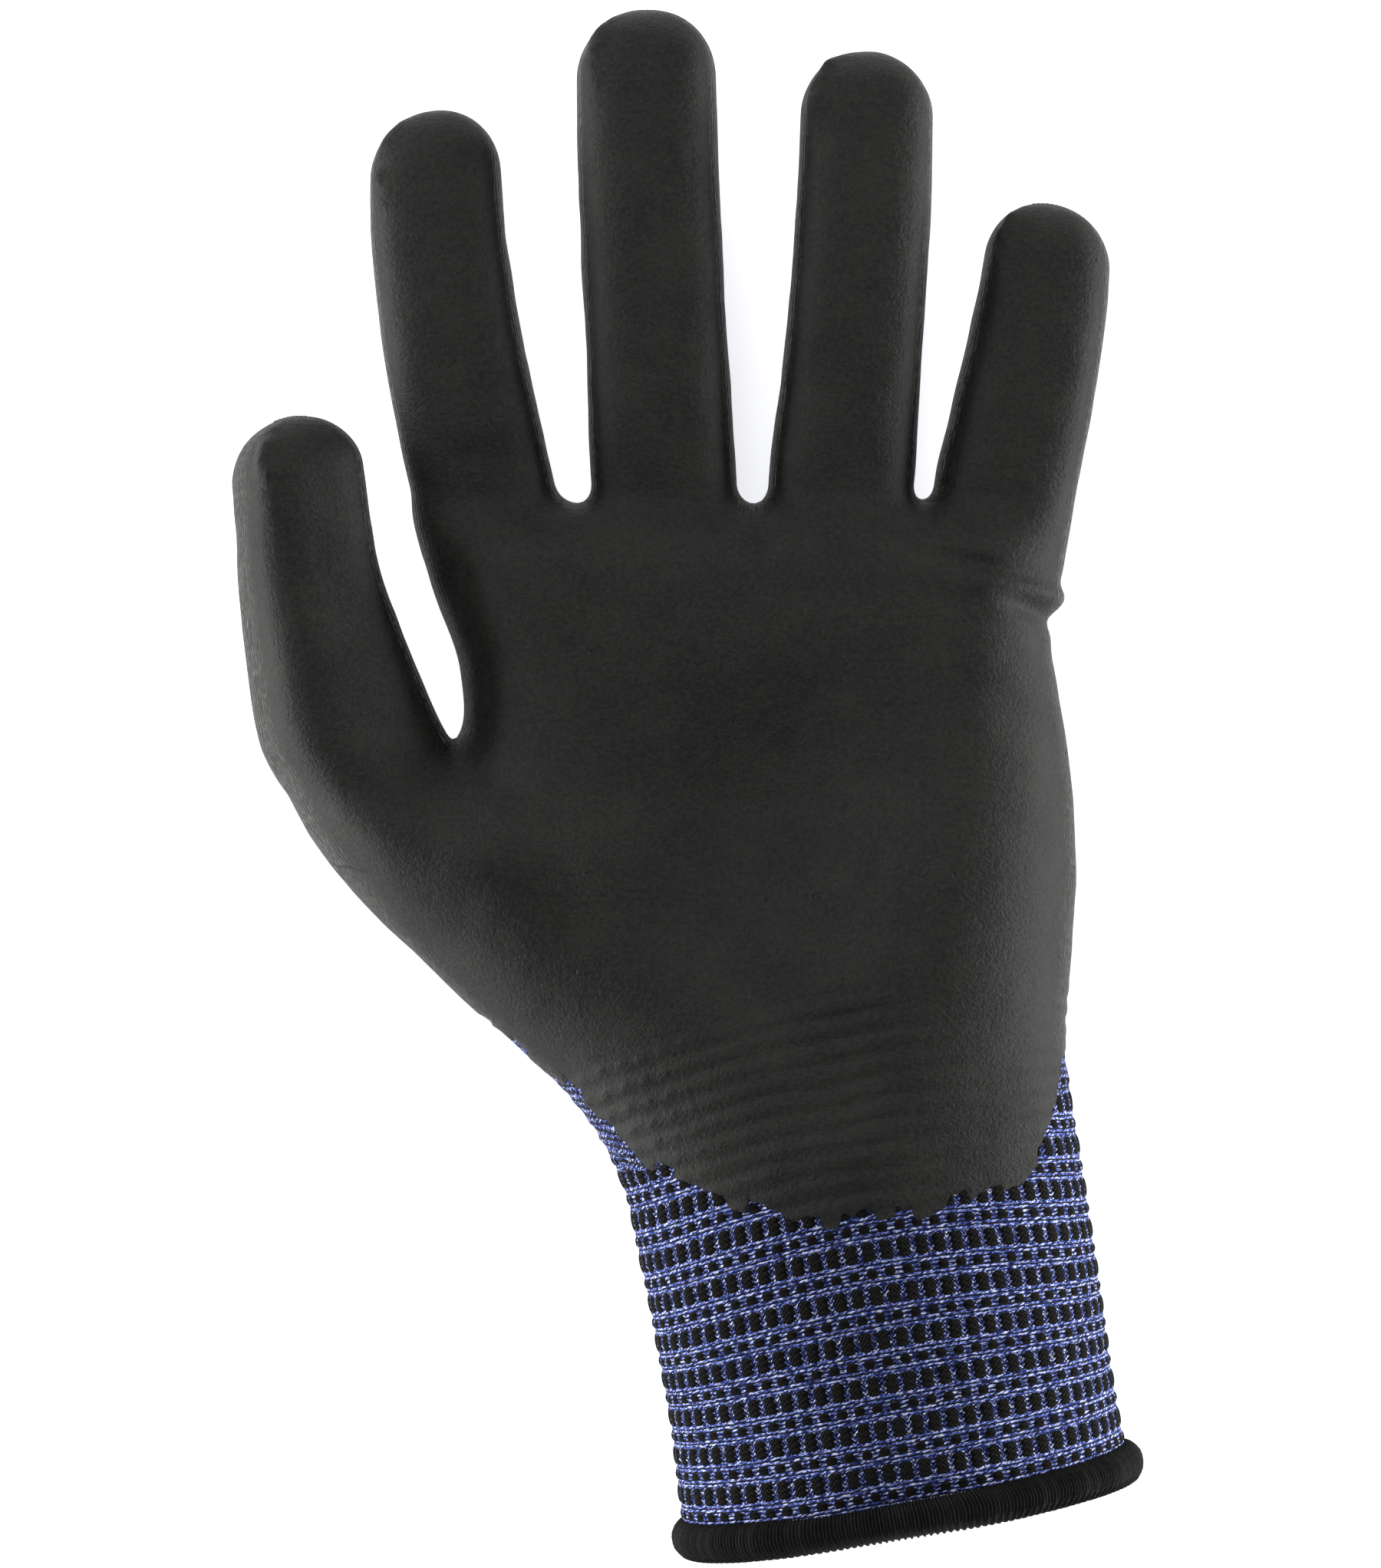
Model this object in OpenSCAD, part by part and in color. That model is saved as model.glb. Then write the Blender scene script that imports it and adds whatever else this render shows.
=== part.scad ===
// Cut resistant work glove for a left hand, lying on its back with the palm up.
// +Y runs to the fingertips, the thumb is on the -X side, and z = 0 is the surface it lies on.
// Every stall is a hollow knitted tube with a foam coating on its palm side. The tubes are
// split where a finger bends, so that each length turns about its own hinge line.

/* [Knit and coating] */
// Thickness of the knitted wall
knit_t = 1.2; // [0.8:0.1:2]
// Thickness of the foam coating
coat_t = 1.1; // [0.6:0.1:1.6]

/* [Fingers] */
// Thickness of a stall as a share of its width
stall_flatness = 0.86; // [0.7:0.02:1]
// Depth of the finger hinge lines below the coated surface
crease_depth = 3.5; // [2:0.5:5]
// Largest bend at the knuckle and middle joints
finger_bend = 75; // [30:5:75]
// Largest bend of the thumb's joints
thumb_bend = 50; // [20:5:60]
// Lean of the thumb's pad towards the fingers
thumb_roll = 25; // [0:5:40]

/* [Palm] */
// Height of the palm at its middle
palm_h = 33; // [26:1:38]
// Height of the palm at the roots of the fingers
knuckle_h = 23; // [20:1:26]

/* [Cuff] */
// Length of the cuff from the wrist line to the edge of its hem
cuff_len = 47; // [40:0.5:70]
// Width of the cuff
cuff_w = 70.5; // [60:0.5:90]
// Height of the cuff
cuff_h = 42; // [36:1:60]
// Sideways lean of the cuff
cuff_lean = 10; // [0:1:15]
// Largest bend of the wrist towards the palm
wrist_bend = 45; // [10:5:45]
// Width of the overlocked hem
hem_len = 5.8; // [4:0.2:8]
// Number of laid-in elastic yarns
elastic_count = 6; // [3:1:7]

/* [Hidden] */
// Gap between two lengths of a stall, half on each side
gap = 0.3;
// Extra opening of every hinge notch, in degrees
notch_spare = 3;
// Points around a stall, the palm and the cuff
stall_sides = 20;
palm_sides = 36;
cuff_sides = 36;
// Arc that the coating covers, from below one edge over the palm side to below the other
coat_edge = 18;

// Each stall: name, hinge points and tip of its centre line, and its half widths at them
FINGERS = [
    ["index",  [[-32.0, 47.5, 13.0], [-36.6, 68.0, 14.5], [-39.0, 86.5, 15.0], [-39.4, 104.8, 14.0]],
               [11.4, 11.0, 10.4, 9.8]],
    ["middle", [[-4.2, 48.0, 13.0], [-5.4, 71.0, 15.0], [-6.7, 96.5, 15.5], [-7.0, 120.8, 14.0]],
               [10.9, 10.4, 10.6, 10.2]],
    ["ring",   [[23.6, 47.5, 13.0], [25.7, 69.5, 14.8], [27.2, 92.5, 15.3], [27.7, 114.2, 14.0]],
               [10.9, 10.1, 10.0, 9.6]],
    ["little", [[49.4, 46.5, 12.5], [52.8, 62.5, 13.5], [55.5, 77.0, 13.8], [56.6, 90.6, 13.0]],
               [10.6, 10.2, 9.6, 8.9]],
    ["thumb",  [[-52.0, 6.0, 18.0], [-58.8, 31.0, 20.5], [-61.0, 56.6, 21.5]],
               [14.0, 11.0, 9.8]]
];
// Names of the lengths of a stall, from the palm out
FINGER_LENGTHS = ["base", "middle", "tip"];
THUMB_LENGTHS = ["base", "tip"];

// Palm sections: left point, right point, lowest and highest level, and squareness.
// Next to the thumb the left points walk along the shoulder that its stall grows from.
PALM = [
    [[-43.0, 45.2], [59.6, 43.9], 1.5, 1.5 + knuckle_h, 2.6],
    [[-39.2, 30.0], [57.6, 30.0], 0.4, 0.82 * palm_h, 2.6],
    [[-35.8, 14.0], [57.6, 15.0], -0.6, 0.88 * palm_h, 2.6],
    [[-35.2, 7.6], [58.4, 7.0], -0.8, 0.92 * palm_h, 2.6],
    [[-43.0, 5.6], [59.0, 2.0], -0.8, 0.95 * palm_h, 2.6],
    [[-55.0, 3.2], [59.5, -4.0], -0.8, 0.98 * palm_h, 2.5],
    [[-65.4, 0.9], [60.0, -10.0], -0.8, palm_h, 2.4],
    [[-54.5, -13.0], [60.2, -19.0], -0.8, 1.04 * palm_h, 2.4],
    [[-44.5, -25.5], [59.5, -28.0], -0.8, 1.08 * palm_h, 2.3],
    [[-30.2, -38.7], [58.2, -38.0], -0.8, 1.12 * palm_h, 2.3],
    [[-20.0, -47.5], [59.2, -46.0], -0.8, 1.18 * palm_h, 2.2],
    [[-12.8, -58.0], [60.6, -54.0], -0.8, cuff_h - 2, 2.2],
    [[-8.3, -75.1], [61.3, -62.9], -0.8, cuff_h - 0.8, 2.2]
];
// First and last section of the thumb's opening, and how many cells it spans at the left edge
THUMB_SHOULDER = [3, 6];
THUMB_CELLS = 9;
// Levels of the wrist's and the knuckles' hinge lines
wrist_z = 28;
knuckle_z = 20;
// Middle of the cuff at the wrist line
WRIST = [26.5, -69, cuff_h / 2];
// Height of one repeat of the cuff's courses, and how far its courses sink
knit_repeat = 6.7;
rib_depth = 0.35;
// Radius and half length of the thread bar that closes a stall
stitch_r = 0.6;
stitch_half = 1.3;

// ---- small helpers ----

function lengths(f) = len(f[1]) == 4 ? FINGER_LENGTHS : THUMB_LENGTHS;
function unit(v) = v / norm(v);
function flat(v) = [v[0], v[1], 0];
function mix(a, b, t) = a + (b - a) * t;

// A point on a superellipse of half sizes a and b at an angle, with squareness e
function oval(a, b, e, angle) = [
    a * sign(cos(angle)) * pow(abs(cos(angle)), 2 / e),
    b * sign(sin(angle)) * pow(abs(sin(angle)), 2 / e)
];

// ---- hollow shells ----

// Faces of a shell between two grids of points, outer first. Cells that on() refuses are left
// open, and every open edge gets a rim. cap closes the far end of both skins.
function shell_faces(rows, cols, on, cap) = let (
    skin = rows * cols,
    a = function (i, j) i * cols + (j + cols) % cols,
    b = function (i, j) skin + i * cols + (j + cols) % cols,
    live = function (i, j) i >= 0 && i < rows - 1 && on(i, (j + cols) % cols)
) [
    for (i = [0:rows - 2], j = [0:cols - 1]) if (live(i, j)) each [
        [a(i, j), a(i, j + 1), a(i + 1, j + 1)],
        [a(i, j), a(i + 1, j + 1), a(i + 1, j)],
        [b(i, j), b(i + 1, j + 1), b(i, j + 1)],
        [b(i, j), b(i + 1, j), b(i + 1, j + 1)],
        if (!live(i - 1, j)) each rim(a(i, j + 1), a(i, j), b(i, j), b(i, j + 1)),
        if (!live(i + 1, j) && !(cap && i == rows - 2))
            each rim(a(i + 1, j), a(i + 1, j + 1), b(i + 1, j + 1), b(i + 1, j)),
        if (!live(i, j - 1)) each rim(a(i, j), a(i + 1, j), b(i + 1, j), b(i, j)),
        if (!live(i, j + 1)) each rim(a(i + 1, j + 1), a(i, j + 1), b(i, j + 1), b(i + 1, j + 1))
    ],
    if (cap) each [for (j = [1:cols - 2]) each [
        [a(rows - 1, 0), a(rows - 1, j), a(rows - 1, j + 1)],
        [b(rows - 1, 0), b(rows - 1, j + 1), b(rows - 1, j)]
    ]]
];
function rim(p, q, r, s) = [[p, q, r], [p, r, s]];

// A shell from an outer and an inner list of rings, each ring a list of points.
module shell(outer, inner, on = function (i, j) true, cap = false) {
    points = [for (ring = outer) each ring, for (ring = inner) each ring];
    faces = shell_faces(len(outer), len(outer[0]), on, cap);
    polyhedron(points = points, faces = faces, convexity = 8);
}

// ---- stalls ----

// Directions of a stall: along it, across it, and out of its pad
function along(f) = let (p = f[1]) unit(flat(p[len(p) - 1] - p[0]));
function roll(f) = f[0] == "thumb" ? thumb_roll : 0;
function across(f) = let (d = along(f)) [d[1], -d[0], 0] * cos(roll(f)) - [0, 0, sin(roll(f))];
function pad(f) = cross(across(f), along(f));
function bend(f) = f[0] == "thumb" ? thumb_bend : finger_bend;

// Distance of a hinge point along the stall, and tables of its centre line and half width
function reach(f, i) = (f[1][i] - f[1][0]) * along(f);
function off_line(f, i) = f[1][i] - f[1][0] - along(f) * reach(f, i);
function centre(f, s) = let (last = len(f[1]) - 1) f[1][0] + along(f) * s
    + [for (k = [0:2]) lookup(s, [for (i = [0:last]) [reach(f, i), off_line(f, i)[k]]])];
function half_width(f, s) = lookup(s, [for (i = [0:len(f[1]) - 1]) [reach(f, i), f[2][i]]]);

// Height of the hinge lines over the centre line
function hinge_lift(f, i) = f[2][i] * stall_flatness + coat_t - crease_depth;

// One ring of a stall, grown outwards by grow. turn runs from 0 to 90 over the round tip.
// notch leans the ring away from a hinge above its line: 1 forwards, -1 backwards, 0 not at all.
function stall_ring(f, s, turn, grow, notch, hinge) = let (
    n = len(f[1]) - 1,
    round_r = f[2][n],
    s2 = turn > 0 ? reach(f, n) - round_r + (round_r + grow) * sin(turn) : s,
    a = (half_width(f, s) + grow) * cos(turn),
    b = (half_width(f, s) * stall_flatness + grow) * cos(turn),
    slope = tan(bend(f) / 2 + notch_spare),
    c = centre(f, s2)
) [for (j = [0:stall_sides - 1]) let (
    p = oval(a, b, 2.2, 360 * j / stall_sides),
    over = max(0, p[1] - (hinge < 0 ? 0 : hinge_lift(f, hinge)))
) c + across(f) * p[0] + pad(f) * p[1] + along(f) * notch * slope * over];

// The rings of length k of a stall
function stall_rings(f, k, grow) = let (
    n = len(f[1]) - 1,
    s0 = reach(f, k) + gap / 2,
    s1 = reach(f, k + 1) - gap / 2,
    last = k == n - 1,
    s_round = reach(f, n) - f[2][n]
) [
    stall_ring(f, s0, 0, grow, 1, k),
    if (!last) each [
        stall_ring(f, mix(s0, s1, 0.5), 0, grow, 0, -1),
        stall_ring(f, s1, 0, grow, -1, k + 1)
    ],
    if (last) each [
        stall_ring(f, mix(s0, s_round, 0.5), 0, grow, 0, -1),
        for (turn = [0, 30, 58, 80]) stall_ring(f, s_round, turn, grow, 0, -1)
    ]
];

// Whether cell j of a ring lies under the coating
function coated(j, sides) = let (mid = 360 * (j + 0.5) / sides)
    mid < 180 + coat_edge || mid > 360 - coat_edge;

module stall_liner(f, k) {
    last = k == len(f[1]) - 2;
    color("midnightblue") shell(stall_rings(f, k, 0), stall_rings(f, k, -knit_t), cap = last);
}

module stall_coating(f, k) {
    color([0.17, 0.175, 0.165])
        shell(stall_rings(f, k, coat_t), stall_rings(f, k, 0), on = function (i, j) coated(j, stall_sides));
}

// The linked-off end of the knitting, a short bar of thread across the very tip
module closing_stitch(f) {
    n = len(f[1]) - 1;
    p = centre(f, reach(f, n)) + along(f) * (coat_t + stitch_r);
    heading = atan2(across(f)[1], across(f)[0]);
    color("black") translate(p) rotate([0, 0, heading]) rotate([0, 90 + roll(f), 0]) {
        cylinder(r = stitch_r, h = 2 * stitch_half, center = true, $fn = 16);
        for (side = [-1, 1]) translate([0, 0, side * stitch_half]) sphere(r = stitch_r, $fn = 16);
    }
}

// ---- palm ----

// A palm section grown by grow. Its back is flattened where it lies on the surface.
function palm_ring(i, grow) = let (
    p = PALM[i],
    l = p[0],
    r = p[1],
    side = unit(r - l),
    ahead = [-side[1], side[0]],
    a = norm(r - l) / 2 + grow,
    b = (p[3] - p[2]) / 2 + grow,
    c = (l + r) / 2,
    zc = (p[2] + p[3]) / 2,
    knuckle = i == 0,
    wrist = i == len(PALM) - 1
) [for (j = [0:palm_sides - 1]) let (
    q = oval(a, b, p[4], 360 * j / palm_sides),
    z = max(zc + q[1], -grow),
    lean = knuckle ? -tan(finger_bend / 2 + notch_spare) * max(0, z - knuckle_z)
        : wrist ? tan(wrist_bend / 2 + notch_spare) * max(0, z - wrist_z) + gap / 2
        : 0,
    xy = c + side * q[0] + ahead * lean
) [xy[0], xy[1], z]];

// Sections run from the wrist to the knuckles
function palm_rings(grow) = [for (i = [len(PALM) - 1:-1:0]) palm_ring(i, grow)];

// Whether a palm cell lies in the opening that the thumb's stall grows from
function thumb_opening(i, j) = let (
    section = len(PALM) - 2 - i,
    from_left = abs(j + 0.5 - palm_sides / 2)
) section >= THUMB_SHOULDER[0] && section < THUMB_SHOULDER[1] && from_left < THUMB_CELLS / 2;

// The wrist end of the coating stops short of the wrist at the sides
function palm_coated(i, j) = let (
    shrink = [50, 32, 14, 4],
    mid = 360 * (j + 0.5) / palm_sides,
    edge = coat_edge - (i < len(shrink) ? shrink[i] : 0)
) (mid < 180 + edge || mid > 360 + min(0, -edge)) && (edge > 0 || mid > -edge) && !thumb_opening(i, j);

module palm_liner() {
    color("midnightblue")
        shell(palm_rings(0), palm_rings(-knit_t), on = function (i, j) !thumb_opening(i, j));
}

module palm_coating() {
    color([0.17, 0.175, 0.165])
        shell(palm_rings(coat_t), palm_rings(0), on = function (i, j) palm_coated(i, j));
}

// ---- cuff ----

function cuff_side() = [cos(cuff_lean), sin(cuff_lean), 0];
function cuff_ahead() = [-sin(cuff_lean), cos(cuff_lean), 0];

// A ring around the cuff, s below the wrist line
function cuff_ring(s, grow, notch = 0, sides = cuff_sides) = [for (j = [0:sides - 1]) let (
    q = oval(cuff_w / 2 + grow, cuff_h / 2 + grow, 2.2, 360 * j / sides),
    z = max(WRIST[2] + q[1], -min(grow, 0)),
    over = max(0, z - wrist_z)
) flat(WRIST) + cuff_side() * q[0] + [0, 0, z]
    - cuff_ahead() * (s + notch * (gap / 2 + tan(wrist_bend / 2 + notch_spare) * over))];

knit_len = cuff_len - hem_len;
rib_rows = 2 * floor(knit_len / knit_repeat);

// The ribbed tube: its courses stand out and sink by turns
function cuff_rings(grow) = [for (i = [rib_rows:-1:0])
    cuff_ring(knit_len * i / rib_rows, grow + (i % 2 == 0 || i == 0 ? 0 : -rib_depth), i == 0 ? 1 : 0)];

module cuff_knit() {
    color("midnightblue") shell(cuff_rings(0), cuff_rings(-knit_t));
}

// Elastic yarns laid into the inside of the ribbing
module cuff_elastic() {
    sides = 24;
    yarn = 0.8;
    first = 9;
    last = knit_len - 2;
    depth = -knit_t - rib_depth - 1;
    color("black") for (n = [0:elastic_count - 1]) let (s = mix(first, last, n / (elastic_count - 1)))
        shell([cuff_ring(s + yarn, depth, 0, sides), cuff_ring(s, depth, 0, sides)],
            [cuff_ring(s + yarn, depth - yarn, 0, sides), cuff_ring(s, depth - yarn, 0, sides)]);
}

// The overlocked edge, a thick round binding around the mouth
module cuff_hem() {
    turns = [0, 30, 60, 90, 120, 150, 180];
    outer_bulge = 1.6;
    inner_bulge = 1.2;
    edge = 0.3;
    clearance = 0.05;
    s_mid = knit_len + hem_len / 2 + clearance;
    color([0.08, 0.08, 0.08]) shell(
        [for (t = turns) cuff_ring(s_mid + cos(t) * hem_len / 2, outer_bulge * sin(t) - knit_t / 2 + edge)],
        [for (t = turns) cuff_ring(s_mid + cos(t) * hem_len / 2, -inner_bulge * sin(t) - knit_t / 2 - edge)]
    );
}

// ---- assembly ----

palm_liner();
palm_coating();
cuff_knit();
cuff_elastic();
cuff_hem();
for (f = FINGERS) {
    for (k = [0:len(lengths(f)) - 1]) {
        stall_liner(f, k);
        stall_coating(f, k);
    }
    closing_stitch(f);
}
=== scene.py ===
"""A left-hand cut resistant work glove, palm up: knitted liner, foam coating, ribbed cuff and hem."""
import math

import bpy
import numpy as np
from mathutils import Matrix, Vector


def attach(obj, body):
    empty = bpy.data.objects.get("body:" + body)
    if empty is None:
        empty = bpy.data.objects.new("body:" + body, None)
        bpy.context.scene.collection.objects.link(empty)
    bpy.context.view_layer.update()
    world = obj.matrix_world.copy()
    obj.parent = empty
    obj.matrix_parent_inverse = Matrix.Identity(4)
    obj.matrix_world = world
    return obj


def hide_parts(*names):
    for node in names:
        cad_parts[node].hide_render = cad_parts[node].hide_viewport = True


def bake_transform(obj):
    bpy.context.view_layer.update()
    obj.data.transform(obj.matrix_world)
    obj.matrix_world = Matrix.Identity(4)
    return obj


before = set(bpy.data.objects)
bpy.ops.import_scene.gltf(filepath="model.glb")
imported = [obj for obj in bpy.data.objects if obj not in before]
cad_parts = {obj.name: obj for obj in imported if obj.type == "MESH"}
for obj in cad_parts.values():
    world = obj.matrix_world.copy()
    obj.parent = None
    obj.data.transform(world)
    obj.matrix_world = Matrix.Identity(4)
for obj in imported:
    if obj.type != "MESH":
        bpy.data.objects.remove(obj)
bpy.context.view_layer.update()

MM = 0.001

# ---- shape of the hand, in millimetres ----

# A stall's section: height over width, and what is added to its half height and its half width
FLATNESS = 0.86
EXTRA_HEIGHT = 0.3
SKIN = 0.5
THUMB_ROLL = math.radians(25)
# Each stall's centre line, near its hinges and at its tip, and its half widths there
STALLS = {
    "index": ([(-33.0, 47.5, 13.0), (-37.2, 68.0, 14.5), (-39.7, 86.5, 15.0), (-40.2, 104.8, 14.0)],
              [10.6, 10.5, 9.9, 9.3]),
    "middle": ([(-4.2, 48.0, 13.0), (-5.4, 71.0, 15.0), (-6.7, 96.5, 15.5), (-7.0, 120.8, 14.0)],
               [10.9, 10.4, 10.6, 10.2]),
    "ring": ([(23.6, 47.5, 13.0), (25.7, 69.5, 14.8), (27.2, 92.5, 15.3), (27.7, 114.2, 14.0)],
             [10.9, 10.1, 10.0, 9.6]),
    "little": ([(49.4, 46.5, 12.5), (52.8, 62.5, 13.5), (55.5, 77.0, 13.8), (56.6, 90.6, 13.0)],
               [10.6, 10.2, 9.6, 8.9]),
    "thumb": ([(-53.2, 6.0, 18.0), (-59.3, 31.0, 20.5), (-61.7, 56.6, 21.5)], [13.2, 9.9, 8.9]),
}
FINGERS = ["index", "middle", "ring", "little"]
# Where each stall's centre line runs on inside the palm, and its half width there
ROOTS = {
    "index": ((-27.0, 26.0, 13.6), 10.6),
    "middle": ((-3.0, 28.0, 13.4), 10.6),
    "ring": ((22.6, 28.0, 13.4), 10.6),
    "little": ((45.6, 26.0, 13.0), 10.2),
    "thumb": ((-38.0, -13.0, 17.0), 12.5),
}
# Where a stall rounds off inside the palm, from its first point, and over what length
ROOT_START = {"index": -14.0, "middle": -14.0, "ring": -14.0, "little": -14.0, "thumb": -12.0}
ROOT_ROUND = 14.0
# Outline of the palm and the cuff without the stalls: thumb side down, then up the other side
OUTLINE = [
    (-43.6, 44.0), (-40.7, 34.7), (-37.7, 26.1), (-35.9, 17.5), (-35.0, 8.8), (-40.0, 3.0), (-51.0, -1.0),
    (-54.0, -7.0), (-52.0, -12.8), (-46.6, -21.4), (-39.4, -29.8), (-30.2, -38.7), (-20.3, -47.3),
    (-13.7, -56.0), (-10.0, -64.6), (-8.3, -73.3), (-6.5, -81.9), (-5.0, -90.5), (-3.4, -99.2),
    (-2.0, -112.0), (0.6, -132.0), (74.2, -132.0), (70.2, -112.0), (67.0, -99.2), (65.6, -90.5),
    (64.5, -81.9), (63.3, -73.3), (61.4, -60.3), (59.4, -48.0), (58.2, -38.7), (59.1, -30.0), (60.3, -12.8),
    (59.9, -2.0), (59.1, 4.5), (57.8, 13.1), (56.2, 21.8), (56.4, 30.4), (57.6, 44.0),
]
# Along the hand: level of the widest line, height over it, and width of the rounded rim
PROFILE_Y = [-150.0, -75.0, -56.0, -38.0, -19.0, 0.0, 15.0, 30.0, 45.0]
PROFILE_MIDDLE = [21.0, 21.0, 20.3, 18.6, 17.0, 16.0, 15.0, 14.0, 13.2]
PROFILE_TOP = [21.0, 21.2, 20.5, 18.8, 16.5, 14.5, 13.5, 12.8, 12.0]
PROFILE_RIM = [35.0, 35.0, 33.0, 28.0, 24.0, 20.0, 16.0, 12.0, 8.0]
# Mounds and hollows of the palm: x, y, height, reach
MOUNDS = [(-34.0, -8.0, 4.0, 17.0), (44.0, -15.0, 2.5, 17.0), (8.0, -2.0, -3.0, 20.0),
          (20.0, 34.0, 1.6, 22.0), (-22.0, 34.0, 1.6, 12.0)]
# The wrist line's middle, and the ways down the cuff and across it
WRIST = np.array([26.5, -69.0, 21.0])
CUFF_LEAN = math.radians(10)
CUFF_DOWN = np.array([math.sin(CUFF_LEAN), -math.cos(CUFF_LEAN), 0.0])
CUFF_SIDE = np.array([math.cos(CUFF_LEAN), math.sin(CUFF_LEAN), 0.0])
# Half width and half height of the cuff, and its length with the hem
CUFF_RADII = (35.0, 21.0)
CUFF_LENGTH = 45.3
HEM_LENGTH = 5.8


def unit(v):
    return v / np.linalg.norm(v)


def smooth_step(t):
    t = np.clip(t, 0.0, 1.0)
    return t * t * (3.0 - 2.0 * t)


def bell_weights(reach):
    taps = np.arange(-3 * reach, 3 * reach + 1)
    bell = np.exp(-0.5 * (taps / reach) ** 2)
    return bell / bell.sum()


# Places along a stall at which its tables are kept, and how widely they are rounded
STALL_SPACING = 0.5
STALL_STEPS = np.arange(-60.0, 120.0, STALL_SPACING)
STALL_EASE = 5.0


def eased(knots, values):
    """A table along a stall, straight between its knots and rounded at them."""
    bell = bell_weights(STALL_EASE / STALL_SPACING)
    straight = np.pad(np.interp(STALL_STEPS, knots, values), len(bell) // 2, mode="edge")
    return np.convolve(straight, bell, mode="valid")


class Stall:
    """A finger's or thumb's knitted tube: its own frame, and tables along its length."""

    def __init__(self, name):
        points, widths = STALLS[name]
        root, root_width = ROOTS[name]
        points = np.array([root, *points])
        ahead = points[-1] - points[1]
        ahead[2] = 0.0
        self.name = name
        self.base = points[1]
        self.along = unit(ahead)
        flat_across = np.array([self.along[1], -self.along[0], 0.0])
        roll = THUMB_ROLL if name == "thumb" else 0.0
        self.across = flat_across * math.cos(roll) - np.array([0.0, 0.0, math.sin(roll)])
        self.pad = np.cross(self.across, self.along)
        rel = points - self.base
        knots = rel @ self.along
        self.reach = knots[1:]
        self.off_across = eased(knots, rel @ self.across)
        self.off_pad = eased(knots, rel @ self.pad)
        self.widths = eased(knots, [root_width, *widths])

    def local(self, p):
        """Distance along the stall, and across and up from its centre line."""
        rel = p - self.base
        s = rel @ self.along
        u = rel @ self.across - np.interp(s, STALL_STEPS, self.off_across)
        w = rel @ self.pad - np.interp(s, STALL_STEPS, self.off_pad)
        return s, u, w

    def distance(self, p):
        s, u, w = self.local(p)
        a = np.interp(s, STALL_STEPS, self.widths) + SKIN
        b = a * FLATNESS + EXTRA_HEIGHT
        tip_length = self.widths[-1] + SKIN
        beyond = np.maximum(s - (self.reach[-1] + SKIN - tip_length), 0.0) / tip_length
        before = np.maximum(ROOT_START[self.name] - s, 0.0) / ROOT_ROUND
        around = np.cbrt(np.abs(u / a) ** 3 + np.abs(w / b) ** 3)
        return (np.sqrt(around ** 2 + beyond ** 2 + before ** 2) - 1.0) * np.minimum(a, b)


ALL_STALLS = {name: Stall(name) for name in STALLS}

# ---- the hand as a field whose zero is the outer surface ----

GRID_STEP = 0.75
PLAN_LOW = np.array([-75.0, -135.0])
PLAN_COUNT = (200, 352)
PLAN_SMOOTHING = 3
# How widely parts melt together; the thumb does so more widely from a level down
BETWEEN_FINGERS = 2.0
FINGER_WEB = 3.5
THUMB_WEB = 1.5
THENAR_LEVEL = 7.0
THENAR_FADE = 12.0
THENAR_BLEND = 9.0


def segment_distance(p, a, b):
    """Distance in the plan from each point to a segment, and how far along it the nearest place is."""
    edge = np.subtract(b, a)
    rel = p[:, :2] - a
    t = np.clip(rel @ edge / (edge @ edge), 0.0, 1.0)
    return np.hypot(*(rel - t[:, None] * edge).T), t


def outline_distance(p, outline):
    """Signed distance in the plan to a closed outline, negative inside."""
    best = np.full(len(p), np.inf)
    inside = np.zeros(len(p), bool)
    for a, b in zip(outline, outline[1:] + outline[:1]):
        best = np.minimum(best, segment_distance(p, a, b)[0])
        if a[1] != b[1]:
            straddles = (a[1] > p[:, 1]) != (b[1] > p[:, 1])
            inside ^= straddles & (p[:, 0] < (b[0] - a[0]) * (p[:, 1] - a[1]) / (b[1] - a[1]) + a[0])
    return best * np.where(inside, -1.0, 1.0)


def smoothed(table, reach):
    for axis in (0, 1):
        pad = [(3 * reach, 3 * reach) if k == axis else (0, 0) for k in (0, 1)]
        wide = np.pad(table, pad, mode="edge")
        count = table.shape[axis]
        table = sum(
            weight * np.take(wide, range(k, k + count), axis=axis)
            for k, weight in enumerate(bell_weights(reach))
        )
    return table


def plan_table():
    """Distance to the outline over a grid, with its corners rounded."""
    x = PLAN_LOW[0] + GRID_STEP * np.arange(PLAN_COUNT[0])
    y = PLAN_LOW[1] + GRID_STEP * np.arange(PLAN_COUNT[1])
    points = np.stack(np.meshgrid(x, y, indexing="ij"), -1).reshape(-1, 2)
    return smoothed(outline_distance(points, OUTLINE).reshape(PLAN_COUNT), PLAN_SMOOTHING)


PLAN = plan_table()


def plan_distance(p):
    at = (p[:, :2] - PLAN_LOW) / GRID_STEP
    at = np.clip(at, 0.0, np.array(PLAN_COUNT) - 1.001)
    cell = at.astype(int)
    fx, fy = (at - cell).T
    i, j = cell.T
    low = PLAN[i, j] * (1 - fx) + PLAN[i + 1, j] * fx
    high = PLAN[i, j + 1] * (1 - fx) + PLAN[i + 1, j + 1] * fx
    return low * (1 - fy) + high * fy


def along_hand(p, profile):
    return np.interp(p[:, 1], PROFILE_Y, profile)


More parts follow.
